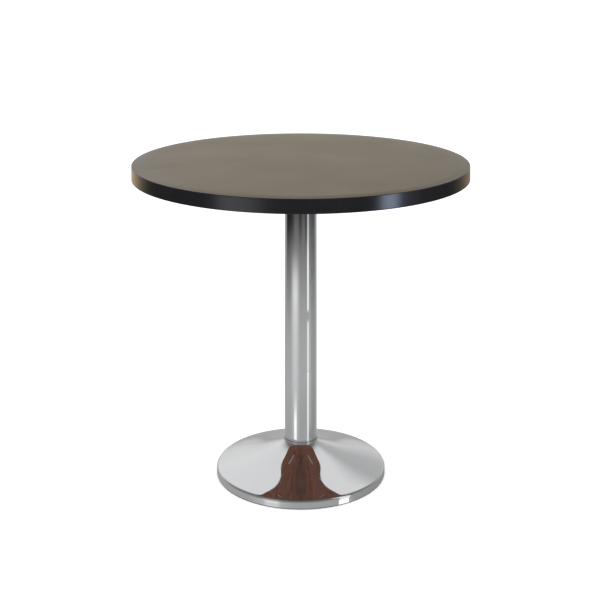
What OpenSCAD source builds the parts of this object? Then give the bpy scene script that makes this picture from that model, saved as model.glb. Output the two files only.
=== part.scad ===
// Round pedestal bistro table: laminated disc top, chromed tube column and a
// chromed trumpet-shaped base cover over a cast-iron weight, clamped together
// by one long tie rod. Four levelling glides carry the table. Millimetres,
// +Z up, X left to right, origin on the floor under the column's axis.
// Name endings: _d diameter, _r radius, _t thickness, _h height, _w width,
// _z height above the floor.

/* [Tabletop] */
// Diameter over the edge band
top_d = 800; // [600:10:900]
// Height of the table surface above the floor
table_h = 735; // [700:1:760]
// Thickness of the finished tabletop
top_t = 32; // [22:1:40]
// Thickness of each laminate sheet
laminate_t = 0.8; // [0.6:0.1:1.2]
// Thickness of the edge band, measured radially
band_t = 2; // [1:0.5:3]

/* [Column] */
// Outside diameter of the column tube
tube_d = 76; // [60:1:90]
// Wall thickness of the column tube
tube_wall = 1.5; // [1:0.1:3]
// Thread diameter of the tie rod through the column
rod_d = 12; // [10:2:12]

/* [Mounting spider] */
// Distance from the axis to the tip of each arm
arm_reach = 305; // [240:5:320]
// Angle between each arm and the table's left-to-right line
arm_angle = 60; // [35:1:60]
// Width of an arm where it leaves the hub
arm_root_w = 40; // [34:1:44]
// Width of an arm's screw pad at its tip
arm_tip_w = 24; // [22:1:32]
// Thickness of the arm plates
arm_t = 5; // [4:0.5:6]

/* [Base cover] */
// Diameter of the cover's upright rim
base_d = 398; // [380:1:460]
// Height of the point where the rim's shoulder starts to curl in
rim_h = 14.9; // [12:0.1:18]
// Radius of the rim's rounded shoulder
shoulder_r = 6; // [3:0.5:8]
// Sheet thickness of the cover
cover_t = 1.2; // [0.8:0.1:2]
// Slope of the outer dish, in degrees
dish_slope = 15.2; // [14:0.1:18]
// Extra slope gained towards the neck, in degrees
flare_gain = 6.9; // [5:0.5:10]
// Radius at which half of that slope is gained
flare_mid = 103.5; // [85:1:115]
// Softness of that change of slope
flare_soft = 12.2; // [10:0.2:20]
// Extra slope of the neck's curl where it meets the column, in degrees
neck_curl = 33; // [25:1:38]
// Length over which the neck's curl dies away
neck_soft = 8.6; // [5:0.1:9]
// Distance from the column at which the neck turns upright
neck_turn = 3; // [2.6:0.1:4]
// Height of the neck's upright lip
neck_lip = 1.2; // [1:0.1:4]
// Extra slope of the brow just inside the rim, in degrees
brow_gain = 2.25; // [0:0.05:4]

/* [Base weight] */
// Diameter of the cast-iron weight
weight_d = 374; // [350:2:376]
// Height of its flat underside above the floor
weight_z = 8; // [8:0.5:9]
// Height of the machined seat that the column stands on
seat_z = 40; // [38:1:42]

/* [Glides] */
// Distance of each glide from the axis
glide_r = 155; // [140:1:156]
// Diameter of a glide's foot pad
pad_d = 32; // [26:1:34]
// Height of a glide's foot pad
pad_h = 6; // [6:0.5:6.5]
// Thread diameter of a glide's stem
stem_d = 8; // [8:1:8]

/* [Hidden] */
$fn = 128;

cut = 1;                                // how far cutters run past a face

// ---- shared shapes ---------------------------------------------------------
module ring(outer_r, bore_r, height) {
    difference() {
        cylinder(r = outer_r, h = height);
        translate([0, 0, -cut]) cylinder(r = bore_r, h = height + 2 * cut);
    }
}

// ---- tabletop --------------------------------------------------------------
top_r = top_d / 2;
core_r = top_r - band_t;
under_z = table_h - top_t;              // underside of the tabletop
pilot_r = 2.45;                         // pilot holes for the spider's screws
pilot_depth = 22;

module tabletop_core() {
    color("burlywood") difference() {
        translate([0, 0, under_z + laminate_t])
            cylinder(r = core_r, h = top_t - 2 * laminate_t, $fn = 256);
        at_screws() translate([0, 0, under_z])
            cylinder(r = pilot_r, h = pilot_depth, $fn = 24);
    }
}

module top_laminate() {
    color([0.16, 0.14, 0.13]) translate([0, 0, table_h - laminate_t])
        cylinder(r = core_r, h = laminate_t, $fn = 256);
}

module underside_laminate() {
    color([0.30, 0.20, 0.15]) difference() {
        translate([0, 0, under_z]) cylinder(r = core_r, h = laminate_t, $fn = 256);
        at_screws() translate([0, 0, under_z - cut]) cylinder(r = pilot_r, h = 4, $fn = 24);
    }
}

module edge_band() {
    color([0.08, 0.08, 0.09]) translate([0, 0, under_z])
        ring(top_r, core_r, top_t, $fn = 256);
}

// ---- mounting spider -------------------------------------------------------
tube_r = tube_d / 2;
tube_bore_r = tube_r - tube_wall;
rod_hole_r = rod_d / 2 + 0.5;
spider_z = under_z - 0.02;              // top face, a paint film below the tabletop
arm_under_z = spider_z - arm_t;
hub_h = 19;
tube_top_z = spider_z - hub_h;          // underside of the hub
pocket_depth = 15;                      // nut pocket in the hub's top
pocket_r = 17;
pocket_z = spider_z - pocket_depth;
spigot_h = 20;                          // hollow spigot inside the tube
spigot_wall = 5.9;
spigot_r = tube_bore_r - 0.1;
hollow_top = 3;                         // hollow's ceiling below the hub's underside
screw_at = [arm_reach - 38, arm_reach - 12];   // screws along each arm
screw_hole_r = 2.75;
arm_dirs = [arm_angle, 180 - arm_angle, 180 + arm_angle, 360 - arm_angle];
arm_start = 30;                         // arm's root, inside the hub
taper_end = screw_at[0] - 18;           // where taper and rib both end
rib_w = 6;
rib_start = 35;
rib_deep_end = 70;                      // the rib is full depth up to here

module at_screws() {
    for (a = arm_dirs, s = screw_at)
        rotate(a) translate([s, 0, 0]) children();
}

// One arm along +X: a tapered plate with a rounded screw pad, and a rib below.
module arm() {
    tip_r = arm_tip_w / 2;
    tip_x = arm_reach - tip_r;
    translate([0, 0, arm_under_z]) linear_extrude(arm_t) {
        polygon([[arm_start, -arm_root_w / 2], [taper_end, -tip_r], [tip_x, -tip_r],
                 [tip_x, tip_r], [taper_end, tip_r], [arm_start, arm_root_w / 2]]);
        translate([tip_x, 0]) circle(r = tip_r);
    }
    // The rib runs 1 mm up into the plate.
    rotate([90, 0, 0]) translate([0, 0, -rib_w / 2]) linear_extrude(rib_w)
        polygon([[rib_start, tube_top_z], [rib_deep_end, tube_top_z],
                 [taper_end, arm_under_z], [taper_end, arm_under_z + 1],
                 [rib_start, arm_under_z + 1]]);
}

module mounting_spider() {
    color([0.62, 0.62, 0.62]) difference() {
        union() {
            translate([0, 0, tube_top_z]) cylinder(r = tube_r + 8, h = hub_h);
            translate([0, 0, tube_top_z - spigot_h]) cylinder(r = spigot_r, h = spigot_h + 1);
            for (a = arm_dirs) rotate(a) arm();
        }
        translate([0, 0, tube_top_z - spigot_h - cut])
            cylinder(r = spigot_r - spigot_wall, h = spigot_h + cut - hollow_top);
        translate([0, 0, pocket_z]) cylinder(r = pocket_r, h = pocket_depth + cut);
        // Rod hole, through the web between hollow and pocket
        translate([0, 0, tube_top_z - 10]) cylinder(r = rod_hole_r, h = 40);
        at_screws() translate([0, 0, arm_under_z - cut])
            cylinder(r = screw_hole_r, h = arm_t + 2 * cut, $fn = 24);
    }
}

// Pan-head wood screws through the arm tips, one solid each.
// Half outline as [radius, height above the arm's underside].
screw_profile = [[0, -2.8], [3.4, -2.8], [4.6, -1.8], [4.75, -0.6], [4.75, 0],
                 [2.4, 0], [2.4, 21], [0, 25]];

module spider_screws() {
    color("silver") at_screws() translate([0, 0, arm_under_z]) {
        rotate_extrude($fn = 32) polygon(screw_profile);
    }
}

// ---- column and tie rod ----------------------------------------------------
rod_r = rod_d / 2 - 0.1;                // thread drawn at its mean working size
rod_bottom_z = 8.6;
rod_top_z = under_z - 1;
rod_chamfer = 1;
nut_r = rod_d * 0.79 / cos(30);         // circumradius of the hexagon
nut_h = rod_d * 0.9;
top_washer_t = 2.5;
bore_z = 26;                            // ceiling of the weight's counterbore
bottom_washer_z = bore_z - 3;
spring_t = 2.5;
spring_z = bottom_washer_z - spring_t;
split_w = 1.2;                          // gap in the spring washer

module rod_nut() {
    difference() {
        cylinder(r = nut_r, h = nut_h, $fn = 6);
        translate([0, 0, -cut]) cylinder(r = rod_d / 2, h = nut_h + 2 * cut);
    }
}

module column_tube() {
    color([0.85, 0.86, 0.88]) translate([0, 0, seat_z])
        ring(tube_r, tube_bore_r, tube_top_z - seat_z);
}

// Disc that centres the tube's lower end on the rod.
module column_end_disc() {
    color("dimgray") translate([0, 0, seat_z]) ring(tube_bore_r - 0.05, rod_hole_r, 4);
}

module tie_rod() {
    color("lightsteelblue") rotate_extrude()
        polygon([[0, rod_bottom_z], [rod_r - rod_chamfer, rod_bottom_z],
                 [rod_r, rod_bottom_z + rod_chamfer], [rod_r, rod_top_z - rod_chamfer],
                 [rod_r - rod_chamfer, rod_top_z], [0, rod_top_z]]);
}

module top_washer() {
    color("silver") translate([0, 0, pocket_z]) ring(12, rod_hole_r, top_washer_t);
}

module top_nut() {
    color("silver") translate([0, 0, pocket_z + top_washer_t]) rod_nut();
}

module bottom_washer() {
    color("silver") translate([0, 0, bottom_washer_z])
        ring(18, rod_hole_r, bore_z - bottom_washer_z);
}

// Split ring under the bottom washer; the split is a narrow gap on the +X side.
module spring_washer() {
    color("dimgray") difference() {
        translate([0, 0, spring_z]) ring(10.5, rod_hole_r - 0.2, spring_t);
        translate([0, -split_w / 2, spring_z - 0.5]) cube([12, split_w, 4]);
    }
}

module bottom_nut() {
    color("silver") translate([0, 0, spring_z - nut_h]) rod_nut();
}

// ---- base cover profile ----------------------------------------------------
// Profile points are [radius, height, slope in degrees from level].
floor_gap = 1.25;                       // one thread pitch of the glides
ring_lip_t = 1.5;                       // thickness of the floor ring's lip
cover_z = floor_gap + ring_lip_t;       // lower edge of the cover's rim
base_r = base_d / 2;
neck_r = tube_r + 0.15;                 // hole in the cover for the column
brow_start = 155;                       // radius where the brow begins
brow_span = 35;                         // distance over which it gains brow_gain

// Slope of the cover's outer face at a radius.
function slope(radius) =
    dish_slope
    + flare_gain / (1 + exp((radius - flare_mid) / flare_soft))
    + neck_curl * exp(-(radius - tube_r) / neck_soft)
    + brow_gain * pow(max(0, (radius - brow_start) / brow_span), 2);

// The shoulder is an arc that runs from upright to the brow's slope.
shoulder_x = base_r - shoulder_r;
shoulder_steps = 8;
shoulder = [for (i = [0 : shoulder_steps])
    let (a = i / shoulder_steps * (90 - slope(shoulder_x)))
    [shoulder_x + shoulder_r * cos(a), rim_h + shoulder_r * sin(a), 90 - a]];
shoulder_end = shoulder[shoulder_steps];

// The flare: radii packed closer towards the neck, heights by adding up the
// slope along the way (Simpson's rule).
flare_steps = 40;
flare_packing = 1.7;
flare_end_r = tube_r + neck_turn;
function flare_r(i) =
    flare_end_r + (shoulder_end[0] - flare_end_r) * pow(1 - i / flare_steps, flare_packing);
function climb(from_r, to_r) = (from_r - to_r)
    * (tan(slope(from_r)) + 4 * tan(slope((from_r + to_r) / 2)) + tan(slope(to_r))) / 6;
function flare_from(i, z) =
    i > flare_steps ? [] : concat([[flare_r(i), z, slope(flare_r(i))]],
        flare_from(i + 1, z + climb(flare_r(i), flare_r(min(i + 1, flare_steps)))));
flare = flare_from(0, shoulder_end[1]);

// The neck turns upright along a small arc and ends in a lip.
turn = flare[flare_steps];
turn_end = 88;                          // slope at the end of the arc
turn_r = (turn[0] - neck_r - cover_t) / (sin(turn_end) - sin(turn[2]));
turn_steps = 6;
neck = [for (i = [1 : turn_steps])
    let (a = turn[2] + i / turn_steps * (turn_end - turn[2]))
    [turn[0] - turn_r * (sin(a) - sin(turn[2])),
     turn[1] + turn_r * (cos(turn[2]) - cos(a)),
     a]];
neck_top_z = neck[turn_steps - 1][1] + neck_lip;

// The outer face, from the rim's foot to the top of the neck.
outer = concat([[base_r, cover_z, 90]], shoulder,
               [for (i = [1 : flare_steps]) flare[i]], neck,
               [[neck_r + cover_t, neck_top_z, 90]]);
// The inner face as [radius, height]: each outer point moved square to the
// face by the sheet's thickness, kept clear of the column.
inner = [for (p = outer)
    [max(p[0] - cover_t * sin(p[2]), neck_r), p[1] - cover_t * cos(p[2])]];
// Height of the inner face at a radius; lookup needs rising keys, hence the minus.
function inner_z(radius) = lookup(-radius, [for (p = inner) [-p[0], p[1]]]);

// ---- base ------------------------------------------------------------------
weight_r = weight_d / 2;
ledge_z = 16;                           // ledge round the weight's top edge
weight_chamfer = 2;
counterbore_r = 22;
recess_r = 18.5;                        // glide recesses in the underside
recess_z = 14.6;                        // their ceiling
stem_r = stem_d / 2;

module base_weight() {
    color([0.22, 0.22, 0.23]) difference() {
        rotate_extrude()
            polygon([[rod_hole_r, bore_z], [counterbore_r, bore_z], [counterbore_r, weight_z],
                     [weight_r - weight_chamfer, weight_z],
                     [weight_r, weight_z + weight_chamfer], [weight_r, ledge_z],
                     [weight_r - 11, ledge_z], [weight_r - 14, ledge_z + 3],
                     [66, 30], [56, 32], [50, seat_z], [rod_hole_r, seat_z]]);
        for (i = [1 : 4]) at_glide(i) {
            translate([0, 0, weight_z - cut])
                cylinder(r = recess_r, h = recess_z - weight_z + cut);
            translate([0, 0, recess_z - cut]) cylinder(r = stem_r, h = 20);
        }
    }
}

module base_cover() {
    color([0.88, 0.89, 0.91]) rotate_extrude($fn = 256)
        polygon(concat([for (p = outer) [p[0], p[1]]],
                       [for (i = [len(inner) - 1 : -1 : 0]) inner[i]]));
}

// Rubber ring that carries the cover on the weight's ledge.
module cover_support_ring() {
    in_r = weight_r - 9.5;
    out_r = weight_r - 1.5;
    gap = 0.08;                         // below the cover's inner face
    color([0.12, 0.12, 0.12]) rotate_extrude($fn = 256)
        polygon([[in_r, ledge_z], [out_r, ledge_z],
                 [out_r, inner_z(out_r) - gap], [in_r, inner_z(in_r) - gap]]);
}

// Soft ring along the cover's lower edge: an upright leg inside the rim and a
// lip under it.
module floor_ring() {
    rim_in_r = base_r - cover_t;
    leg_in_r = rim_in_r - 2.4;
    leg_out_r = rim_in_r - 0.2;
    leg_top_z = 10;
    lip_r = base_r - 0.1;
    chamfer = 0.5;
    color([0.25, 0.25, 0.26]) rotate_extrude($fn = 256)
        polygon([[leg_in_r, floor_gap], [lip_r - chamfer, floor_gap],
                 [lip_r, floor_gap + chamfer], [lip_r, cover_z],
                 [leg_out_r, cover_z], [leg_out_r, leg_top_z], [leg_in_r, leg_top_z]]);
}

// ---- levelling glides ------------------------------------------------------
stem_top_z = 28.4;
thread_r = stem_r - 0.07;
tip_chamfer = 1;
stem_foot_r = 5.95;                     // disc at the stem's foot, held in the pad
socket_z = 3;                           // floor of the pad's socket
socket_gap = 0.08;                      // clearance round the stem and its foot

// Glides stand on the diagonals, numbered anticlockwise from above, from +X+Y.
module at_glide(i) {
    rotate(45 + 90 * (i - 1)) translate([glide_r, 0, 0]) children();
}

// Foot pad with a snap-in socket for the stem's foot.
module glide_pad(i) {
    pad_r = pad_d / 2;
    hole_r = stem_r + socket_gap;
    socket_r = stem_foot_r + socket_gap;
    socket_top_z = pad_h - 0.8;
    color([0.13, 0.13, 0.14]) at_glide(i) rotate_extrude()
        polygon([[0, 0], [pad_r - 1.2, 0], [pad_r, 1.2], [pad_r, pad_h - 2],
                 [pad_r - 2, pad_h], [hole_r, pad_h], [hole_r, socket_top_z],
                 [socket_r, socket_top_z], [socket_r, socket_z], [0, socket_z]]);
}

// From the bottom: foot disc, plain neck, hexagon, threaded stem, chamfered tip.
module glide_stem(i) {
    color("silver") at_glide(i) {
        translate([0, 0, socket_z]) cylinder(r = stem_foot_r, h = 2);
        translate([0, 0, socket_z + 1]) cylinder(r = stem_r, h = 3);
        translate([0, 0, pad_h + 0.4]) cylinder(r = 6.5 / cos(30), h = 4, $fn = 6);
        translate([0, 0, pad_h + 4])
            cylinder(r = thread_r, h = stem_top_z - tip_chamfer - pad_h - 4);
        translate([0, 0, stem_top_z - tip_chamfer])
            cylinder(r1 = thread_r, r2 = stem_r - 1, h = tip_chamfer);
    }
}

module glide_pad_1() { glide_pad(1); }
module glide_pad_2() { glide_pad(2); }
module glide_pad_3() { glide_pad(3); }
module glide_pad_4() { glide_pad(4); }
module glide_stem_1() { glide_stem(1); }
module glide_stem_2() { glide_stem(2); }
module glide_stem_3() { glide_stem(3); }
module glide_stem_4() { glide_stem(4); }

tabletop_core();
top_laminate();
underside_laminate();
edge_band();
mounting_spider();
spider_screws();
column_tube();
column_end_disc();
tie_rod();
top_nut();
top_washer();
bottom_nut();
spring_washer();
bottom_washer();
base_weight();
base_cover();
cover_support_ring();
floor_ring();
glide_pad_1();
glide_pad_2();
glide_pad_3();
glide_pad_4();
glide_stem_1();
glide_stem_2();
glide_stem_3();
glide_stem_4();
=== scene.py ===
import math

import bmesh
import bpy
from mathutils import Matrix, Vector


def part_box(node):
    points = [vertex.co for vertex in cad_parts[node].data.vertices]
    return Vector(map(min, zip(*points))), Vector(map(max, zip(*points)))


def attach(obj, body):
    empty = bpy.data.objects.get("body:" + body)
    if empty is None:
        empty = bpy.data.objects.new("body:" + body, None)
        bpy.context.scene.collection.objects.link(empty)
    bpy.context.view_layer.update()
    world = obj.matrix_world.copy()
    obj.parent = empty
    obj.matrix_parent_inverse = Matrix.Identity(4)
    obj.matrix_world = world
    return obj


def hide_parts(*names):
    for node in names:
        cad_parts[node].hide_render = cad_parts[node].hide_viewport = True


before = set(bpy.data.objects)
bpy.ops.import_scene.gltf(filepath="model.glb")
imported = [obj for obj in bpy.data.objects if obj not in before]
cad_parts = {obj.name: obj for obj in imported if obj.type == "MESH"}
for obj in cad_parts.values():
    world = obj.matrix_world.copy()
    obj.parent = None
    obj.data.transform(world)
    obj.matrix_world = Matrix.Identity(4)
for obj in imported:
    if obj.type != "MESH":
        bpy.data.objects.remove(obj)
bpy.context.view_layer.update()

MM = 0.001
PI = math.pi
TABLE = "table"


# =============================================================================
# Sizes, read from the frame, in millimetres
# =============================================================================
def mm_box(node):
    lo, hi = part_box(node)
    return [v / MM for v in lo], [v / MM for v in hi]


band_lo, band_hi = mm_box("edge_band")
lam_lo, lam_hi = mm_box("top_laminate")
und_lo, und_hi = mm_box("underside_laminate")
spi_lo, spi_hi = mm_box("mounting_spider")
tub_lo, tub_hi = mm_box("column_tube")
disc_lo, disc_hi = mm_box("column_end_disc")
rod_lo, rod_hi = mm_box("tie_rod")
tn_lo, tn_hi = mm_box("top_nut")
tw_lo, tw_hi = mm_box("top_washer")
bn_lo, bn_hi = mm_box("bottom_nut")
sw_lo, sw_hi = mm_box("spring_washer")
bw_lo, bw_hi = mm_box("bottom_washer")
wt_lo, wt_hi = mm_box("base_weight")
cov_lo, cov_hi = mm_box("base_cover")
sup_lo, sup_hi = mm_box("cover_support_ring")
flr_lo, flr_hi = mm_box("floor_ring")
core_lo, core_hi = mm_box("tabletop_core")

TOP_R = band_hi[0]                  # 400
TABLE_Z = band_hi[2]                # 735
UNDER_Z = band_lo[2]                # 703
LAM_R = lam_hi[0]                   # 398
TUBE_R = tub_hi[0]                  # 38
TUBE_RI = TUBE_R - 1.5
TUBE_TOP = tub_hi[2]
SEAT_Z = tub_lo[2]
SPI_Z = spi_hi[2]
BASE_R = cov_hi[0]                  # 199
COVER_Z = cov_lo[2]
NECK_Z = cov_hi[2]
WEIGHT_R = wt_hi[0]
WEIGHT_Z = wt_lo[2]
ARM_DIRS = [60, 120, 240, 300]
SCREW_AT = [267.0, 293.0]
GLIDE_AT = [((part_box("glide_pad_%d" % i)[0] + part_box("glide_pad_%d" % i)[1]) / 2) / MM for i in range(1, 5)]


# =============================================================================
# Mesh tools
# =============================================================================
def fillet(points, closed=True, n=5):
    """Rounds a profile's corners. Each point is (r, z) or (r, z, radius)."""
    out, count = [], len(points)
    for i, p in enumerate(points):
        rad = p[2] if len(p) > 2 else 0
        if rad <= 0 or (not closed and i in (0, count - 1)):
            out.append((p[0], p[1]))
            continue
        o = Vector(p[:2])
        va = Vector(points[i - 1][:2]) - o
        vb = Vector(points[(i + 1) % count][:2]) - o
        la, lb = va.length, vb.length
        va, vb = va / la, vb / lb
        half = va.angle(vb) / 2
        t = min(rad / math.tan(half), la * 0.49, lb * 0.49)
        rr = t * math.tan(half)
        c = o + (va + vb).normalized() * (rr / math.sin(half))
        s, e = o + va * t - c, o + vb * t - c
        a0, a1 = math.atan2(s.y, s.x), math.atan2(e.y, e.x)
        d = (a1 - a0 + PI) % (2 * PI) - PI
        for k in range(n + 1):
            a = a0 + d * k / n
            out.append((c.x + rr * math.cos(a), c.y + rr * math.sin(a)))
    return out


def refine(points, step, closed=True):
    """Adds points along the long sides of a profile."""
    out, count = [], len(points)
    for i, p in enumerate(points):
        out.append(p)
        if not closed and i == count - 1:
            break
        q = points[(i + 1) % count]
        d = math.hypot(q[0] - p[0], q[1] - p[1])
        for k in range(1, int(d / step)):
            t = k / int(d / step)
            out.append((p[0] + (q[0] - p[0]) * t, p[1] + (q[1] - p[1]) * t))
    return out


def lathe(profile, segs, closed=True, at=(0, 0), start=0.0):
    """Vertices and faces of a turned shape; the profile is in millimetres."""
    verts, rings = [], []
    for r, z in profile:
        if r < 1e-6:
            verts.append((at[0] * MM, at[1] * MM, z * MM))
            rings.append([len(verts) - 1])
            continue
        rings.append(list(range(len(verts), len(verts) + segs)))
        for k in range(segs):
            a = start + 2 * PI * k / segs
            verts.append(((at[0] + r * math.cos(a)) * MM, (at[1] + r * math.sin(a)) * MM, z * MM))
    faces, n = [], len(rings)
    for i in range(n if closed else n - 1):
        a, b = rings[i], rings[(i + 1) % n]
        if len(a) == 1 and len(b) == 1:
            continue
        for k in range(segs):
            j = (k + 1) % segs
            if len(a) == 1:
                faces.append((a[0], b[j], b[k]))
            elif len(b) == 1:
                faces.append((a[k], a[j], b[0]))
            else:
                faces.append((a[k], a[j], b[j], b[k]))
    return verts, faces


def thread(r_crest, r_root, pitch, z0, z1, segs=32, runout=None, at=(0, 0)):
    """A solid threaded rod with a true helix, its ends running out to the root."""
    runout = pitch if runout is None else runout
    shape = [(0.0, 0.0), (0.12, 0.0), (0.44, 1.0), (0.56, 1.0), (0.88, 0.0)]
    m = len(shape)
    turns = int((z1 - z0) / pitch) + 3
    verts, faces, index = [], [], {}
    for i in range(segs):
        a = 2 * PI * i / segs
        for j in range(turns * m):
            t, h = shape[j % m]
            z = z0 - pitch + pitch * (j // m + t + i / segs)
            zc = min(max(z, z0), z1)
            fade = max(0.0, min(1.0, (zc - z0) / runout, (z1 - zc) / runout))
            r = r_root + (r_crest - r_root) * h * fade
            index[(i, j)] = len(verts)
            verts.append(((at[0] + r * math.cos(a)) * MM, (at[1] + r * math.sin(a)) * MM, zc * MM))
    total = turns * m
    for i in range(segs):
        for j in range(total - 1):
            if i < segs - 1:
                quad = (index[(i, j)], index[(i + 1, j)], index[(i + 1, j + 1)], index[(i, j + 1)])
            else:
                if j + 1 + m > total - 1:
                    continue
                quad = (index[(i, j)], index[(0, j + m)], index[(0, j + 1 + m)], index[(i, j + 1)])
            faces.append(quad)
    bm = mesh_of(verts, faces)
    bmesh.ops.remove_doubles(bm, verts=bm.verts, dist=1e-6)
    bmesh.ops.dissolve_degenerate(bm, dist=1e-7, edges=bm.edges)
    loose = [e for e in bm.edges if not e.link_faces]
    bmesh.ops.delete(bm, geom=loose, context="EDGES")
    bmesh.ops.holes_fill(bm, edges=[e for e in bm.edges if e.is_boundary], sides=0)
    return bm


def mesh_of(verts, faces):
    bm = bmesh.new()
    vs = [bm.verts.new(v) for v in verts]
    for f in faces:
        ids = []
        for k in f:
            if k not in ids:
                ids.append(k)
        if len(ids) < 3:
            continue
        try:
            bm.faces.new([vs[k] for k in ids])
        except ValueError:
            pass
    return bm


def hexagon(af, bore, z0, z1, at=(0, 0), turn=0.0, cham=30.0, segs=72, both=True):
    """A hexagon nut or bolt head with chamfered corners. bore 0 makes it solid."""
    apo = af / 2
    steps = [0.0, 0.35, 0.7, 1.1, 1.6]
    h = z1 - z0
    zs = [s for s in steps if s < h / 2] + [h / 2] + [h - s for s in reversed(steps) if s < h / 2]
    rings = []
    verts = []

    def ring(fn, z):
        ids = []
        for k in range(segs):
            a = 2 * PI * k / segs
            r = fn(a)
            verts.append(((at[0] + r * math.cos(a + turn)) * MM, (at[1] + r * math.sin(a + turn)) * MM, z * MM))
            ids.append(len(verts) - 1)
        return ids

    def hexr(a):
        return apo / math.cos((a + PI / 6) % (PI / 3) - PI / 6)

    for z in zs:
        edge = min(z if both else 99, h - z)
        cone = apo * 0.97 + edge / math.tan(math.radians(cham))
        rings.append(ring(lambda a: min(hexr(a), cone), z0 + z))
    loop = list(rings)
    if bore > 0:
        inner = [ring(lambda a: bore + 0.5, z1), ring(lambda a: bore, z1 - 0.5),
                 ring(lambda a: bore, z0 + 0.5), ring(lambda a: bore + 0.5, z0)]
        loop += inner
    faces = []
    n = len(loop)
    for i in range(n if bore > 0 else n - 1):
        a, b = loop[i], loop[(i + 1) % n]
        for k in range(segs):
            j = (k + 1) % segs
            faces.append((a[k], a[j], b[j], b[k]))
    if bore <= 0:
        for ids, z, flip in ((rings[0], z0, True), (rings[-1], z1, False)):
            verts.append((at[0] * MM, at[1] * MM, z * MM))
            c = len(verts) - 1
            for k in range(segs):
                j = (k + 1) % segs
                faces.append((c, ids[j], ids[k]) if flip else (c, ids[k], ids[j]))
    return verts, faces


def prism(outline, z0, z1, bevel=0.0, turn=0.0):
    """An upright plate from a millimetre outline, with an optional bevel all round."""
    ca, sa = math.cos(math.radians(turn)), math.sin(math.radians(turn))

    def offset(d):
        n, out = len(outline), []
        for i, p in enumerate(outline):
            a, b = outline[i - 1], outline[(i + 1) % n]
            e1 = Vector((p[0] - a[0], p[1] - a[1])).normalized()
            e2 = Vector((b[0] - p[0], b[1] - p[1])).normalized()
            n1, n2 = Vector((-e1.y, e1.x)), Vector((-e2.y, e2.x))
            m = n1 + n2
            m = m / max(m.length_squared / 2, 1e-6)
            out.append((p[0] + m.x * d, p[1] + m.y * d))
        return out

    layers = [(z0, 0.0), (z1, 0.0)]
    if bevel > 0:
        b2 = bevel * 0.3
        layers = [(z0, bevel), (z0 + b2, b2), (z0 + bevel, 0.0), (z1 - bevel, 0.0), (z1 - b2, b2), (z1, bevel)]
    verts, faces, n = [], [], len(outline)
    for z, d in layers:
        for x, y in offset(d):
            verts.append(((x * ca - y * sa) * MM, (x * sa + y * ca) * MM, z * MM))
    for i in range(len(layers) - 1):
        for k in range(n):
            j = (k + 1) % n
            faces.append((i * n + k, i * n + j, (i + 1) * n + j, (i + 1) * n + k))
    faces.append(tuple(reversed(range(n))))
    faces.append(tuple(range((len(layers) - 1) * n, len(layers) * n)))
    return verts, faces


def finish_mesh(bm, name, mats, sharp=32.0):
    bmesh.ops.remove_doubles(bm, verts=bm.verts, dist=2e-7)
    bmesh.ops.recalc_face_normals(bm, faces=bm.faces)
    me = bpy.data.meshes.new(name)
    bm.to_mesh(me)
    bm.free()
    for m in mats:
        me.materials.append(m)
    me.shade_smooth()
    me.set_sharp_from_angle(angle=math.radians(sharp))
    ob = bpy.data.objects.new(name, me)
    bpy.context.scene.collection.objects.link(ob)
    return ob


def build(name, parts, mats, sharp=32.0):
    """One object from one or more (verts, faces) lists or bmeshes."""
    bm = bmesh.new()
    for p in parts:
        if isinstance(p, bmesh.types.BMesh):
            me = bpy.data.meshes.new("tmp")
            p.to_mesh(me)
            p.free()
            bm.from_mesh(me)
            bpy.data.meshes.remove(me)
        else:
            vs = [bm.verts.new(v) for v in p[0]]
            for f in p[1]:
                bm.faces.new([vs[k] for k in f])
    return finish_mesh(bm, name, mats, sharp)


def apply_all(ob):
    """Applies an object's modifiers to its mesh."""
    dg = bpy.context.evaluated_depsgraph_get()
    me = bpy.data.meshes.new_from_object(ob.evaluated_get(dg), depsgraph=dg)
    old = ob.data
    ob.modifiers.clear()
    ob.data = me
    me.name = ob.name
    bpy.data.meshes.remove(old)
    return ob


def boolean(ob, cutter, op="DIFFERENCE", sharp=32.0):
    """Cuts or joins with another object, which is then removed."""
    m = ob.modifiers.new("cut", "BOOLEAN")
    m.operation = op
    m.solver = "EXACT"
    m.object = cutter
    m.use_hole_tolerant = True
    bpy.context.view_layer.update()
    apply_all(ob)
    bpy.data.objects.remove(cutter)
    bm = bmesh.new()
    bm.from_mesh(ob.data)
    bmesh.ops.remove_doubles(bm, verts=bm.verts, dist=5e-7)
    bmesh.ops.dissolve_degenerate(bm, dist=1e-7, edges=bm.edges)
    bm.to_mesh(ob.data)
    bm.free()
    ob.data.shade_smooth()
    ob.data.set_sharp_from_angle(angle=math.radians(sharp))
    return ob


def place(ob, body, slot_name, *nodes):
    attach(ob, body)
    if nodes:
        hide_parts(*nodes)
    return ob


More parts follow.
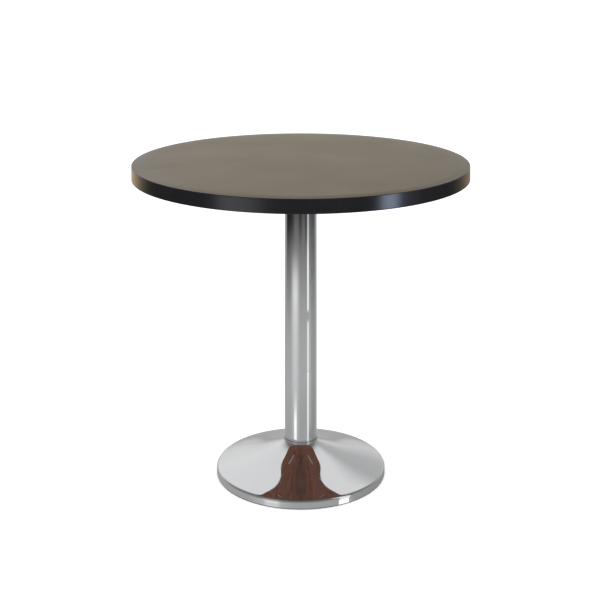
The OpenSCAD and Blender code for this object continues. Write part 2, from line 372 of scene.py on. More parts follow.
# =============================================================================
# Node tools
# =============================================================================
class Nodes:
    def __init__(self, tree):
        self.t = tree
        tree.nodes.clear()

    def put(self, value, socket):
        if isinstance(value, bpy.types.NodeSocket):
            self.t.links.new(value, socket)
        elif value is not None:
            if hasattr(socket.default_value, "__len__") and not hasattr(value, "__len__"):
                socket.default_value = [value] * len(socket.default_value)
            elif hasattr(socket.default_value, "__len__") and len(socket.default_value) == 4 and len(value) == 3:
                socket.default_value = (*value, 1.0)
            else:
                socket.default_value = value

    def add(self, kind, props=None, inputs=None):
        n = self.t.nodes.new(kind)
        for k, v in (props or {}).items():
            setattr(n, k, v)
        for k, v in (inputs or {}).items():
            self.put(v, n.inputs[k])
        return n

    def math(self, op, a, b=None, c=None, clamp=False):
        n = self.add("ShaderNodeMath", {"operation": op, "use_clamp": clamp})
        for i, v in enumerate((a, b, c)):
            if v is not None:
                self.put(v, n.inputs[i])
        return n.outputs[0]

    def vmath(self, op, a, b=None, scale=None):
        n = self.add("ShaderNodeVectorMath", {"operation": op})
        self.put(a, n.inputs[0])
        if b is not None:
            self.put(b, n.inputs[1])
        if scale is not None:
            self.put(scale, n.inputs["Scale"])
        return n.outputs["Value"] if op in ("LENGTH", "DOT_PRODUCT", "DISTANCE") else n.outputs["Vector"]

    def xyz(self, v):
        n = self.add("ShaderNodeSeparateXYZ", None, {0: v})
        return n.outputs[0], n.outputs[1], n.outputs[2]

    def join(self, x, y, z):
        return self.add("ShaderNodeCombineXYZ", None, {0: x, 1: y, 2: z}).outputs[0]

    def noise(self, vec, scale, detail=2.0, rough=0.5, distort=0.0, dims="3D"):
        n = self.add("ShaderNodeTexNoise", {"noise_dimensions": dims},
                     {"Vector": vec, "Scale": scale, "Detail": detail, "Roughness": rough, "Distortion": distort})
        return n.outputs["Fac"] if "Fac" in n.outputs else n.outputs[0]

    def voronoi(self, vec, scale, feature="F1", out="Distance", rand=1.0):
        n = self.add("ShaderNodeTexVoronoi", {"feature": feature}, {"Vector": vec, "Scale": scale, "Randomness": rand})
        return n.outputs[out]

    def step(self, x, a, b, lo=0.0, hi=1.0):
        """Smooth step from lo at a to hi at b."""
        n = self.add("ShaderNodeMapRange", {"interpolation_type": "SMOOTHSTEP"},
                     {"Value": x, "From Min": a, "From Max": b, "To Min": lo, "To Max": hi})
        return n.outputs[0]

    def lin(self, x, a, b, lo=0.0, hi=1.0):
        n = self.add("ShaderNodeMapRange", {"clamp": True},
                     {"Value": x, "From Min": a, "From Max": b, "To Min": lo, "To Max": hi})
        return n.outputs[0]

    def window(self, x, a0, a1, b1, b0):
        """1 between a1 and b1, falling to 0 at a0 and b0."""
        return self.math("MULTIPLY", self.step(x, a0, a1), self.step(x, b1, b0, 1.0, 0.0))

    def curve(self, x, lo, hi, points):
        """A piecewise law: points are (x, value), values up to 2."""
        top = max(v for _, v in points)
        t = self.lin(x, lo, hi)
        n = self.add("ShaderNodeValToRGB", None, {0: t})
        n.color_ramp.interpolation = "LINEAR"
        el = n.color_ramp.elements
        while len(el) > 1:
            el.remove(el[-1])
        for i, (px, v) in enumerate(points):
            p = (px - lo) / (hi - lo)
            e = el[0] if i == 0 else el.new(p)
            e.position = p
            e.color = (v / top, v / top, v / top, 1)
        return self.math("MULTIPLY", n.outputs[0], top)

    def mix(self, f, a, b, mode="MIX"):
        n = self.add("ShaderNodeMix", {"data_type": "RGBA", "blend_type": mode})
        self.put(f, n.inputs[0])
        self.put(a, n.inputs[6])
        self.put(b, n.inputs[7])
        return n.outputs[2]

    def mixf(self, f, a, b):
        n = self.add("ShaderNodeMix", {"data_type": "FLOAT"})
        self.put(f, n.inputs[0])
        self.put(a, n.inputs[2])
        self.put(b, n.inputs[3])
        return n.outputs[0]

    def bump(self, height, distance, strength=1.0, normal=None):
        n = self.add("ShaderNodeBump", None, {"Height": height, "Distance": distance, "Strength": strength})
        if normal is not None:
            self.put(normal, n.inputs["Normal"])
        return n.outputs[0]


def material(name):
    m = bpy.data.materials.new(name)
    m.use_nodes = True
    n = Nodes(m.node_tree)
    n.pos = n.add("ShaderNodeTexCoord").outputs["Object"]
    return m, n


def principled(n, **inputs):
    names = {"color": "Base Color", "metal": "Metallic", "rough": "Roughness", "ior": "IOR", "normal": "Normal",
             "spec": "Specular IOR Level", "coat": "Coat Weight", "coat_rough": "Coat Roughness",
             "aniso": "Anisotropic", "aniso_rot": "Anisotropic Rotation", "tangent": "Tangent",
             "sheen": "Sheen Weight", "sheen_rough": "Sheen Roughness", "tint": "Specular Tint"}
    b = n.add("ShaderNodeBsdfPrincipled", None, {names[k]: v for k, v in inputs.items()})
    out = n.add("ShaderNodeOutputMaterial")
    n.t.links.new(b.outputs[0], out.inputs["Surface"])
    return b


def polar(n):
    """Radius, angle and height of the shading point about the table's axis."""
    x, y, z = n.xyz(n.pos)
    r = n.math("SQRT", n.math("ADD", n.math("MULTIPLY", x, x), n.math("MULTIPLY", y, y)))
    a = n.math("ARCTAN2", y, x)
    return r, a, z


# =============================================================================
# Materials
# =============================================================================
CHROME = (0.790, 0.795, 0.805)


def mat_chrome_tube():
    m, n = material("chrome_tube")
    r, a, z = polar(n)
    # long polishing marks, very shallow
    lines = n.noise(n.join(n.math("MULTIPLY", a, 90.0), n.math("MULTIPLY", z, 5.0), 0.0), 1.0, 3.0, 0.6)
    wave = n.noise(n.join(n.math("MULTIPLY", a, 1.6), n.math("MULTIPLY", z, 9.0), 0.3), 1.0, 1.0, 0.4)
    smear = n.step(n.noise(n.pos, 14.0, 4.0, 0.6), 0.56, 0.74)
    hair = n.noise(n.join(n.math("MULTIPLY", a, 30.0), n.math("MULTIPLY", z, 260.0), 4.0), 1.0, 2.0, 0.7)
    hair = n.step(hair, 0.72, 0.78)
    rough = n.math("ADD", n.math("MULTIPLY", smear, 0.035), n.math("MULTIPLY", lines, 0.03))
    rough = n.math("ADD", rough, 0.022)
    rough = n.math("ADD", rough, n.math("MULTIPLY", hair, 0.05))
    tint = n.mix(n.math("MULTIPLY", smear, 0.5), CHROME, (0.755, 0.76, 0.77))
    # painted shade: a dark, rougher line on the tube where it enters the cover, standing in for the shadow in the gap
    edge = n.math("ADD", z, n.math("MULTIPLY", n.math("SUBTRACT", n.noise(n.pos, 260.0, 3.0, 0.6), 0.5), 0.0030))
    painted_gap_shade = n.step(edge, (NECK_Z + 5.5) * MM, (NECK_Z + 0.8) * MM)
    tint = n.mix(n.math("MULTIPLY", painted_gap_shade, 0.46), tint, (0.16, 0.155, 0.15))
    rough = n.math("ADD", rough, n.math("MULTIPLY", painted_gap_shade, 0.16))
    nrm = n.bump(wave, 0.00010, 1.0)
    nrm = n.bump(lines, 0.0000035, 1.0, nrm)
    principled(n, color=tint, metal=1.0, rough=rough, normal=nrm)
    return m


def mat_chrome_cover():
    m, n = material("chrome_cover")
    r, a, z = polar(n)
    spin = n.noise(n.join(n.math("MULTIPLY", r, 1500.0), n.math("MULTIPLY", a, 1.2), 0.0), 1.0, 3.0, 0.6)
    wave = n.noise(n.pos, 13.0, 2.0, 0.4)
    smear = n.step(n.noise(n.pos, 22.0, 4.0, 0.62), 0.54, 0.74)
    nick = n.step(n.voronoi(n.pos, 230.0), 0.05, 0.02)
    keep = n.step(n.noise(n.pos, 30.0, 2.0), 0.60, 0.66)
    nick = n.math("MULTIPLY", nick, keep)
    rough = n.math("ADD", n.math("MULTIPLY", smear, 0.03), n.math("MULTIPLY", spin, 0.03))
    rough = n.math("ADD", rough, 0.018)
    rough = n.math("ADD", rough, n.math("MULTIPLY", nick, 0.25))
    tint = n.mix(n.math("MULTIPLY", smear, 0.5), CHROME, (0.75, 0.755, 0.765))
    tint = n.mix(n.math("MULTIPLY", nick, 0.6), tint, (0.35, 0.34, 0.33))
    # painted shade: a dark, rougher ring on the cover's lip round the tube, standing in for the shadow in the gap
    edge = n.math("ADD", r, n.math("MULTIPLY", n.math("SUBTRACT", n.noise(n.pos, 260.0, 3.0, 0.6), 0.5), 0.0020))
    painted_gap_shade = n.step(edge, (TUBE_R + 3.4) * MM, (TUBE_R + 1.0) * MM)
    tint = n.mix(n.math("MULTIPLY", painted_gap_shade, 0.36), tint, (0.16, 0.155, 0.15))
    rough = n.math("ADD", rough, n.math("MULTIPLY", painted_gap_shade, 0.16))
    nrm = n.bump(wave, 0.00016, 1.0)
    nrm = n.bump(spin, 0.0000016, 1.0, nrm)
    principled(n, color=tint, metal=1.0, rough=rough, normal=nrm)
    return m


def mat_plated_inside():
    m, n = material("plated_inside")
    grain = n.noise(n.pos, 900.0, 4.0, 0.6)
    cloud = n.noise(n.pos, 18.0, 4.0, 0.6)
    col = n.mix(cloud, (0.42, 0.42, 0.43), (0.27, 0.265, 0.26))
    rough = n.lin(grain, 0.3, 0.7, 0.32, 0.52)
    principled(n, color=col, metal=0.9, rough=rough, normal=n.bump(grain, 0.00004))
    return m


def mat_top_laminate():
    m, n = material("top_laminate")
    x, y, z = n.xyz(n.pos)
    grain = n.noise(n.join(n.math("MULTIPLY", x, 16.0), n.math("MULTIPLY", y, 150.0), 0.0), 1.0, 5.0, 0.62, 0.25)
    cloud = n.noise(n.pos, 6.5, 3.0, 0.55)
    peel = n.noise(n.pos, 1500.0, 2.0, 0.5)
    pore = n.noise(n.join(n.math("MULTIPLY", x, 260.0), n.math("MULTIPLY", y, 2600.0), 1.0), 1.0, 2.0, 0.5)
    pore = n.step(pore, 0.60, 0.72)
    base = n.mix(n.step(grain, 0.35, 0.68), (0.0640, 0.0430, 0.0165), (0.0840, 0.0570, 0.0230))
    base = n.mix(n.math("MULTIPLY", cloud, 0.35), base, (0.0620, 0.0420, 0.0170))
    base = n.mix(n.math("MULTIPLY", pore, 0.35), base, (0.030, 0.020, 0.010))
    rough = n.math("ADD", n.lin(peel, 0.3, 0.7, 0.27, 0.33), n.math("MULTIPLY", pore, 0.05))
    rough = n.math("ADD", rough, n.lin(cloud, 0.3, 0.7, -0.02, 0.02))
    nrm = n.bump(peel, 0.000012, 1.0)
    nrm = n.bump(pore, 0.000012, 1.0, nrm)
    principled(n, color=base, rough=rough, ior=1.42, normal=nrm)
    return m


def mat_edge_band():
    m, n = material("edge_band")
    r, a, z = polar(n)
    lines = n.noise(n.join(n.math("MULTIPLY", z, 900.0), n.math("MULTIPLY", a, 4.0), 0.0), 1.0, 3.0, 0.6)
    peel = n.noise(n.pos, 700.0, 3.0, 0.6)
    cloud = n.noise(n.pos, 9.0, 3.0, 0.6)
    scuff = n.step(n.noise(n.join(n.math("MULTIPLY", a, 60.0), n.math("MULTIPLY", z, 300.0), 2.0), 1.0, 4.0, 0.7), 0.66, 0.78)
    col = n.mix(cloud, (0.0080, 0.0075, 0.0090), (0.0135, 0.0125, 0.0150))
    col = n.mix(n.math("MULTIPLY", scuff, 0.25), col, (0.05, 0.047, 0.05))
    rough = n.math("ADD", n.lin(peel, 0.3, 0.7, 0.15, 0.20), n.math("MULTIPLY", scuff, 0.14))
    nrm = n.bump(lines, 0.000008, 1.0)
    nrm = n.bump(peel, 0.000014, 1.0, nrm)
    principled(n, color=col, rough=rough, ior=1.52, normal=nrm)
    return m


def mat_underside():
    m, n = material("underside_laminate")
    x, y, z = n.xyz(n.pos)
    warp = n.noise(n.pos, 3.0, 2.0, 0.5)
    grain = n.noise(n.join(n.math("MULTIPLY", x, 70.0), n.math("MULTIPLY", y, 7.0), warp), 1.0, 6.0, 0.66, 0.35)
    fine = n.noise(n.join(n.math("MULTIPLY", x, 900.0), n.math("MULTIPLY", y, 45.0), 0.0), 1.0, 3.0, 0.6)
    cloud = n.noise(n.pos, 5.0, 3.0, 0.6)
    base = n.mix(n.step(grain, 0.34, 0.70), (0.088, 0.033, 0.018), (0.160, 0.064, 0.036))
    base = n.mix(n.math("MULTIPLY", n.step(fine, 0.45, 0.75), 0.45), base, (0.052, 0.020, 0.012))
    base = n.mix(n.math("MULTIPLY", cloud, 0.3), base, (0.078, 0.029, 0.018))
    # broad colour fields: redder to one side, lighter across the middle, darker towards the front and back edges
    drift = n.math("ADD", x, n.math("MULTIPLY", n.math("SUBTRACT", n.noise(n.join(0.0, n.math("MULTIPLY", y, 4.0), 2.0), 1.0, 2.0, 0.5), 0.5), 0.05))
    red = n.window(drift, 0.075, 0.105, 0.135, 0.190)
    base = n.mix(n.math("MULTIPLY", red, 0.40), base, (0.122, 0.044, 0.040))
    swing = n.math("ADD", y, n.math("MULTIPLY", n.math("SUBTRACT", n.noise(n.join(n.math("MULTIPLY", x, 5.0), 0.0, 7.0), 1.0, 2.0, 0.5), 0.5), 0.08))
    base = n.mix(n.math("MULTIPLY", n.window(swing, -0.21, -0.13, -0.04, 0.07), 0.26), base, (0.150, 0.070, 0.052))
    base = n.mix(n.math("MULTIPLY", n.step(swing, -0.15, -0.27), 0.42), base, (0.050, 0.028, 0.025))
    base = n.mix(n.math("MULTIPLY", n.step(swing, 0.24, 0.38), 0.28), base, (0.060, 0.027, 0.023))
    rough = n.lin(fine, 0.3, 0.7, 0.42, 0.60)
    nrm = n.bump(fine, 0.00003, 1.0)
    principled(n, color=base, rough=rough, ior=1.40, spec=0.35, normal=nrm)
    return m


def mat_core():
    m, n = material("core_chipboard")
    chip = n.voronoi(n.vmath("MULTIPLY", n.pos, (260.0, 260.0, 700.0)), 1.0, out="Color")
    fine = n.noise(n.pos, 900.0, 3.0, 0.6)
    tone = n.xyz(chip)[0]
    col = n.mix(tone, (0.30, 0.19, 0.10), (0.52, 0.37, 0.22))
    col = n.mix(n.math("MULTIPLY", fine, 0.4), col, (0.20, 0.12, 0.07))
    principled(n, color=col, rough=0.85, normal=n.bump(fine, 0.0001))
    return m


def mat_spider():
    m, n = material("spider_zinc")
    peel = n.noise(n.pos, 650.0, 3.0, 0.6)
    cloud = n.noise(n.pos, 30.0, 4.0, 0.6)
    spangle = n.xyz(n.voronoi(n.pos, 160.0, out="Color"))[0]
    col = n.mix(n.math("MULTIPLY", spangle, 0.35), (0.120, 0.070, 0.055), (0.090, 0.050, 0.040))
    col = n.mix(n.math("MULTIPLY", cloud, 0.25), col, (0.085, 0.048, 0.040))
    # painted glint: a lighter colour round the screws of two arms (the rear ones), shown only from a narrow range of
    # viewing angles
    r, a, z = polar(n)
    painted_glint = n.math("MULTIPLY", n.window(r, 0.190, 0.215, 0.285, 0.300), n.step(n.xyz(n.pos)[1], 0.10, 0.14))
    geo = n.add("ShaderNodeNewGeometry")
    facing = n.math("ABSOLUTE", n.vmath("DOT_PRODUCT", geo.outputs["Incoming"], geo.outputs["Normal"]))
    painted_glint = n.math("MULTIPLY", painted_glint, n.step(facing, 0.868, 0.888))
    col = n.mix(n.math("MULTIPLY", painted_glint, 0.90), col, (0.37, 0.28, 0.25))
    rough = n.lin(peel, 0.3, 0.7, 0.40, 0.54)
    principled(n, color=col, metal=0.15, rough=rough, normal=n.bump(peel, 0.00005))
    return m


def mat_steel(name, tone=(0.56, 0.55, 0.52), scale=1.0):
    m, n = material(name)
    cloud = n.noise(n.pos, 90.0 * scale, 4.0, 0.65)
    fine = n.noise(n.pos, 2200.0, 3.0, 0.6)
    col = n.mix(cloud, tone, tuple(0.66 * c for c in tone))
    rough = n.math("ADD", n.lin(cloud, 0.3, 0.7, 0.22, 0.40), n.math("MULTIPLY", fine, 0.06))
    principled(n, color=col, metal=0.95, rough=rough, normal=n.bump(fine, 0.00001))
    return m


def mat_spring():
    m, n = material("spring_steel")
    fine = n.noise(n.pos, 1800.0, 3.0, 0.6)
    cloud = n.noise(n.pos, 120.0, 3.0, 0.6)
    col = n.mix(cloud, (0.10, 0.10, 0.115), (0.17, 0.165, 0.165))
    principled(n, color=col, metal=0.85, rough=n.lin(fine, 0.3, 0.7, 0.35, 0.5), normal=n.bump(fine, 0.00001))
    return m


def mat_iron():
    m, n = material("cast_iron")
    sand = n.noise(n.pos, 420.0, 5.0, 0.72)
    pit = n.step(n.voronoi(n.pos, 150.0), 0.16, 0.05)
    cloud = n.noise(n.pos, 14.0, 4.0, 0.6)
    col = n.mix(cloud, (0.050, 0.050, 0.053), (0.085, 0.083, 0.082))
    rust = n.step(n.noise(n.pos, 38.0, 5.0, 0.7), 0.64, 0.76)
    col = n.mix(n.math("MULTIPLY", rust, 0.45), col, (0.16, 0.075, 0.035))
    h = n.math("SUBTRACT", sand, n.math("MULTIPLY", pit, 0.8))
    principled(n, color=col, metal=0.25, rough=n.lin(sand, 0.3, 0.7, 0.55, 0.8), normal=n.bump(h, 0.0004))
    return m


def mat_rubber(name, dark=(0.012, 0.012, 0.012), light=(0.028, 0.028, 0.028)):
    m, n = material(name)
    fine = n.noise(n.pos, 1100.0, 4.0, 0.6)
    cloud = n.noise(n.pos, 40.0, 3.0, 0.6)
    col = n.mix(cloud, dark, light)
    principled(n, color=col, rough=n.lin(fine, 0.3, 0.7, 0.5, 0.72), normal=n.bump(fine, 0.00003))
    return m


def mat_nylon():
    m, n = material("glide_nylon")
    fine = n.noise(n.pos, 1400.0, 3.0, 0.6)
    cloud = n.noise(n.pos, 60.0, 3.0, 0.6)
    wear = n.step(n.xyz(n.pos)[2], 0.0016, 0.0002)
    scr = n.step(n.noise(n.vmath("MULTIPLY", n.pos, (1800.0, 240.0, 900.0)), 1.0, 3.0, 0.6), 0.52, 0.66)
    col = n.mix(cloud, (0.235, 0.232, 0.225), (0.300, 0.297, 0.288))
    col = n.mix(n.math("MULTIPLY", n.math("MULTIPLY", wear, scr), 0.7), col, (0.085, 0.080, 0.074))
    principled(n, color=col, rough=n.lin(fine, 0.3, 0.7, 0.40, 0.58), normal=n.bump(fine, 0.00002))
    return m


M_TUBE = mat_chrome_tube()
M_COVER = mat_chrome_cover()
M_INSIDE = mat_plated_inside()
M_TOP = mat_top_laminate()
M_BAND = mat_edge_band()
M_UNDER = mat_underside()
M_CORE = mat_core()
M_SPIDER = mat_spider()
M_STEEL = mat_steel("fastener_steel")
M_BRIGHT = mat_steel("bright_screw", (0.64, 0.63, 0.61), 2.0)
M_SPRING = mat_spring()
M_IRON = mat_iron()
M_RUBBER = mat_rubber("seal_rubber")
M_FLOORRING = mat_rubber("floor_ring_grey", (0.040, 0.040, 0.041), (0.062, 0.061, 0.060))
M_NYLON = mat_nylon()


# =============================================================================
# Tabletop
# =============================================================================
def disc(name, r, z0, z1, mat, node, slot_name, segs=384, edge=0.0, holes=()):
    """A thin turned sheet with a slightly eased rim."""
    prof = fillet([(r, z0, edge), (r, z1, edge)], closed=False) if edge else [(r, z0), (r, z1)]
    if edge:
        prof = fillet([(0, z0), (r, z0, edge), (r, z1, edge), (0, z1)], closed=False, n=3)
        inner = [(rr, z) for rr, z in prof]
    else:
        inner = [(0, z0), (r, z0), (r, z1), (0, z1)]
    full = []
    for i, p in enumerate(inner):
        full.append(p)
        if i + 1 < len(inner):
            q = inner[i + 1]
            if abs(q[0] - p[0]) > 100:
                cuts = [0.06, 0.14, 0.28, 0.45, 0.62, 0.8, 0.93]
                if q[0] < p[0]:
                    cuts = [1 - c for c in reversed(cuts)]
                full += [(p[0] + (q[0] - p[0]) * c, p[1] + (q[1] - p[1]) * c) for c in cuts]
    ob = build(name, [lathe(full, segs, closed=False)], [mat])
    if holes:
        cut = build("tool", [lathe([(0, z0 - 2), (hr, z0 - 2), (hr, z1 + 2), (0, z1 + 2)], 24, closed=False, at=(hx, hy))
                             for hx, hy, hr in holes], [mat])
        boolean(ob, cut)
    return place(ob, TABLE, slot_name, node)


SCREWS = [(s * math.cos(math.radians(a)), s * math.sin(math.radians(a))) for a in ARM_DIRS for s in SCREW_AT]
HOLES = [(x, y, 2.45) for x, y in SCREWS]

disc("laminate_top", LAM_R - 0.02, lam_lo[2], lam_hi[2], M_TOP, "top_laminate", "top_laminate", edge=0.12)
disc("laminate_underside", LAM_R - 0.02, und_lo[2], und_hi[2], M_UNDER, "underside_laminate", "underside_laminate",
     holes=HOLES)

# The core stays as the CAD solid: it is closed in on every side.
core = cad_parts["tabletop_core"]
core.data.materials.clear()
core.data.materials.append(M_CORE)

# Edge band: thin strip with eased arrises and one butt joint at the back.
band = fillet([(LAM_R, UNDER_Z, 0.25), (TOP_R, UNDER_Z, 0.9), (TOP_R, TABLE_Z, 0.9), (LAM_R, TABLE_Z, 0.15)], n=6)
v, f = lathe(refine(band, 3.2), 512, start=PI / 2 + 0.35)
joint_a = PI / 2 + 0.35
seam = []
for x, y, z in v:
    r = math.hypot(x, y)
    a = math.atan2(y, x)
    d = abs((a - joint_a + PI) % (2 * PI) - PI) * r
    if r > (TOP_R - 0.95) * MM and d < 0.0006:
        r -= 0.00035
    seam.append((r * math.cos(a), r * math.sin(a), z))
place(build("edge_band_strip", [(seam, f)], [M_BAND]), TABLE, "edge_band", "edge_band")


# =============================================================================
# Mounting spider
# =============================================================================
def spider():
    hub_r, z0 = TUBE_R + 8, TUBE_TOP
    hub = fillet([(6.5, z0 + 4.0, 0.4), (17, z0 + 4.0, 0.8), (17, SPI_Z, 0.5), (hub_r, SPI_Z, 0.8), (hub_r, z0 + 0.0, 2.2),
                  (TUBE_RI - 0.1, z0 + 0.0, 0.0), (TUBE_RI - 0.1, z0 - 20.0, 1.0), (TUBE_RI - 6.0, z0 - 20.0, 0.6),
                  (TUBE_RI - 6.0, z0 - 3.0, 1.5), (6.5, z0 - 3.0, 0.4)], n=4)
    ob = build("spider_plate", [lathe(hub, 128)], [M_SPIDER])
    plate_z = SPI_Z - 5.0
    rib_end = SCREW_AT[0] - 18
    tip = SCREW_AT[1] + 0.0
    for k, d in enumerate(ARM_DIRS):
        edge = [(30, -20), (60, -18.9), (140, -16), (rib_end - 12, -12.3), (rib_end, -12), (tip, -12)]
        arc = [(tip + 12 * math.sin(t), -12 * math.cos(t)) for t in [PI * i / 16 for i in range(1, 16)]]
        outline = edge + arc + [(x, -y) for x, y in reversed(edge)]
        arm = build("arm", [prism(outline, plate_z, SPI_Z, 0.9, d)], [M_SPIDER])
        boolean(ob, arm, "UNION")
        # rib under the arm, with a soft lower edge
        ca, sa = math.cos(math.radians(d)), math.sin(math.radians(d))
        side = [(35, TUBE_TOP), (70, TUBE_TOP), (110, TUBE_TOP + 2.6), (170, TUBE_TOP + 7.9), (rib_end - 10, plate_z - 1.2),
                (rib_end, plate_z), (rib_end, plate_z + 1.0), (35, plate_z + 1.0)]
        verts, faces = [], []
        layers = [(-3.0, 0.0, 1.0), (-2.2, 0.8, 1.0), (2.2, 0.8, 1.0), (3.0, 0.0, 1.0)]
        n = len(side)
        for y, drop, _ in layers:
            for i, (x, z) in enumerate(side):
                lift = 0.0 if i >= 5 else (0.9 - drop)
                xx, zz = x, z + max(0.0, lift)
                verts.append(((xx * ca - y * sa) * MM, (xx * sa + y * ca) * MM, zz * MM))
        for i in range(len(layers) - 1):
            for j in range(n):
                q = (j + 1) % n
                faces.append((i * n + j, i * n + q, (i + 1) * n + q, (i + 1) * n + j))
        faces.append(tuple(reversed(range(n))))
        faces.append(tuple(range(3 * n, 4 * n)))
        rib = build("rib", [(verts, faces)], [M_SPIDER])
        boolean(ob, rib, "UNION")
    cut = build("tool", [lathe([(0, plate_z - 2), (2.75, plate_z - 2), (2.75, SPI_Z + 2), (0, SPI_Z + 2)], 32, closed=False, at=p)
                         for p in SCREWS]
                + [lathe([(0, z0 + 4.0), (17, z0 + 4.0), (17, SPI_Z + 3), (0, SPI_Z + 3)], 96, closed=False)], [M_SPIDER])
    boolean(ob, cut, "DIFFERENCE", sharp=38.0)
    place(ob, TABLE, "spider_zinc", "mounting_spider")
    # weld beads where each rib meets the hub and the arm
    beads = []
    for d in ARM_DIRS:
        for side_y in (-1, 1):
            path = [(47.5 + 0.0, 3.2 * side_y, TUBE_TOP + 1.6 + t * 11.0) for t in [i / 9 for i in range(10)]]
            path += [(48.5 + 4.0 * i, 3.5 * side_y, plate_z - 0.35) for i in range(1, 14)]
            beads.append(bead(path, 1.15, d, 10, seed=d + side_y))
    place(build("spider_welds", beads, [M_SPIDER], sharp=60), TABLE, "spider_zinc")


def bead(path, radius, turn, sides, seed=0):
    """A rippled weld bead along a path, closed at both ends."""
    ca, sa = math.cos(math.radians(turn)), math.sin(math.radians(turn))
    fine = []
    for i in range(len(path) - 1):
        for k in range(3):
            t = k / 3
            fine.append(tuple(path[i][c] + (path[i + 1][c] - path[i][c]) * t for c in range(3)))
    fine.append(path[-1])
    verts, faces, n = [], [], len(fine)
    for i, p in enumerate(fine):
        a, b = Vector(fine[max(i - 1, 0)]), Vector(fine[min(i + 1, n - 1)])
        t = (b - a).normalized()
        u = t.cross(Vector((0, 1, 0.3))).normalized()
        w = t.cross(u).normalized()
        end = min(1.0, (i + 0.4) / 3.0, (n - 1 - i + 0.4) / 3.0)
        r = radius * (0.35 + 0.65 * math.sqrt(max(0.02, end))) * (1 + 0.10 * math.sin(i * 2.1 + seed) + 0.05 * math.sin(i * 5.3))
        for k in range(sides):
            q = Vector(p) + (u * math.cos(2 * PI * k / sides) + w * math.sin(2 * PI * k / sides)) * r
            verts.append(((q.x * ca - q.y * sa) * MM, (q.x * sa + q.y * ca) * MM, q.z * MM))
    for i in range(n - 1):
        for k in range(sides):
            j = (k + 1) % sides
            faces.append((i * sides + k, i * sides + j, (i + 1) * sides + j, (i + 1) * sides + k))
    faces.append(tuple(reversed(range(sides))))
    faces.append(tuple(range((n - 1) * sides, n * sides)))
    return verts, faces


spider()


def screws():
    """Eight pan-head wood screws with a cross recess."""
    z = SPI_Z - 5.0
    heads, tools, shanks = [], [], []
    for i, (x, y) in enumerate(SCREWS):
        head = fillet([(0, z - 2.8), (2.6, z - 2.75, 1.5), (4.35, z - 1.9, 1.2), (4.72, z - 0.7, 0.5), (4.72, z - 0.02, 0.15),
                       (2.35, z - 0.02, 0.2), (2.35, z + 2.5), (0, z + 2.5)], closed=False, n=4)
        heads.append(lathe(head, 40, closed=False, at=(x, y)))
        shanks.append(thread(2.38, 1.65, 1.8, z + 2.0, z + 22.5, 20, 2.6, at=(x, y)))
        spin = 0.4 + i * 0.83
        for k in range(2):
            a = spin + k * PI / 2
            ca, sa = math.cos(a), math.sin(a)
            verts = []
            for zz, half_l, half_w in ((z - 3.4, 2.3, 0.52), (z - 1.1, 0.9, 0.36)):
                for sx, sy in ((-1, -1), (1, -1), (1, 1), (-1, 1)):
                    px, py = sx * half_l, sy * half_w
                    verts.append(((x + px * ca - py * sa) * MM, (y + px * sa + py * ca) * MM, zz * MM))
            tools.append((verts, [(3, 2, 1, 0), (4, 5, 6, 7), (0, 1, 5, 4), (1, 2, 6, 5), (2, 3, 7, 6), (3, 0, 4, 7)]))
    ob = build("spider_screw_heads", heads, [M_BRIGHT])
    for t in (tools[0::2], tools[1::2]):
        boolean(ob, build("tool", t, [M_BRIGHT]))
    place(ob, TABLE, "fastener_steel", "spider_screws")
    place(build("spider_screw_shanks", shanks, [M_BRIGHT], sharp=50), TABLE, "fastener_steel")


screws()


# =============================================================================
# Column and its tie rod
# =============================================================================
tube = fillet([(TUBE_R, SEAT_Z, 0.35), (TUBE_R, TUBE_TOP, 0.35), (TUBE_RI, TUBE_TOP, 0.3), (TUBE_RI, SEAT_Z, 0.3)], n=3)
place(build("column_chrome_tube", [lathe(refine(tube, 16.0), 256)], [M_TUBE]), TABLE, "chrome", "column_tube")

end = fillet([(6.5, SEAT_Z, 0.3), (TUBE_RI - 0.05, SEAT_Z, 0.5), (TUBE_RI - 0.05, SEAT_Z + 4.0, 0.8), (6.5, SEAT_Z + 4.0, 0.3)], n=3)
place(build("column_centring_disc", [lathe(end, 96)], [M_STEEL]), TABLE, "fastener_steel", "column_end_disc")

rod_parts = [
    thread(5.93, 5.05, 1.75, rod_lo[2] + 0.6, 66.0, 40, 1.7),
    thread(5.93, 5.05, 1.75, 640.0, rod_hi[2] - 0.6, 40, 1.7),
    lathe(fillet([(0, 65.2), (5.2, 65.2, 0.3), (5.45, 66.5, 0.4), (5.45, 639.6, 0.4), (5.2, 640.8, 0.3), (0, 640.8)], closed=False, n=3), 48,
          closed=False),
    lathe(fillet([(0, rod_lo[2]), (4.4, rod_lo[2], 0.4), (5.0, rod_lo[2] + 1.2, 0.2), (0, rod_lo[2] + 1.2)], closed=False, n=3), 40, closed=False),
    lathe(fillet([(0, rod_hi[2] - 1.2), (5.0, rod_hi[2] - 1.2, 0.2), (4.4, rod_hi[2], 0.4), (0, rod_hi[2])], closed=False, n=3), 40, closed=False),
]
place(build("tie_rod_m12", rod_parts, [M_STEEL], sharp=40), TABLE, "fastener_steel", "tie_rod")


def washer(name, r_out, r_in, z0, z1, mat, slot_name, node, gap=0.0):
    prof = fillet([(r_in, z0, 0.25), (r_out, z0, 0.35), (r_out, z1, 0.5), (r_in, z1, 0.25)], n=3)
    if gap <= 0:
        ob = build(name, [lathe(prof, 96)], [mat])
    else:
        n, segs = len(prof), 96
        half = gap / 2 / r_out * 1.15
        verts, faces = [], []
        for k in range(segs + 1):
            a = half + (2 * PI - 2 * half) * k / segs
            lift = 0.0
            for r, z in prof:
                verts.append((r * math.cos(a) * MM, r * math.sin(a) * MM, (z + lift) * MM))
        for k in range(segs):
            for j in range(n):
                q = (j + 1) % n
                faces.append((k * n + j, k * n + q, (k + 1) * n + q, (k + 1) * n + j))
        faces.append(tuple(range(n)))
        faces.append(tuple(reversed(range(segs * n, segs * n + n))))
        ob = build(name, [(verts, faces)], [mat])
    return place(ob, TABLE, slot_name, node)


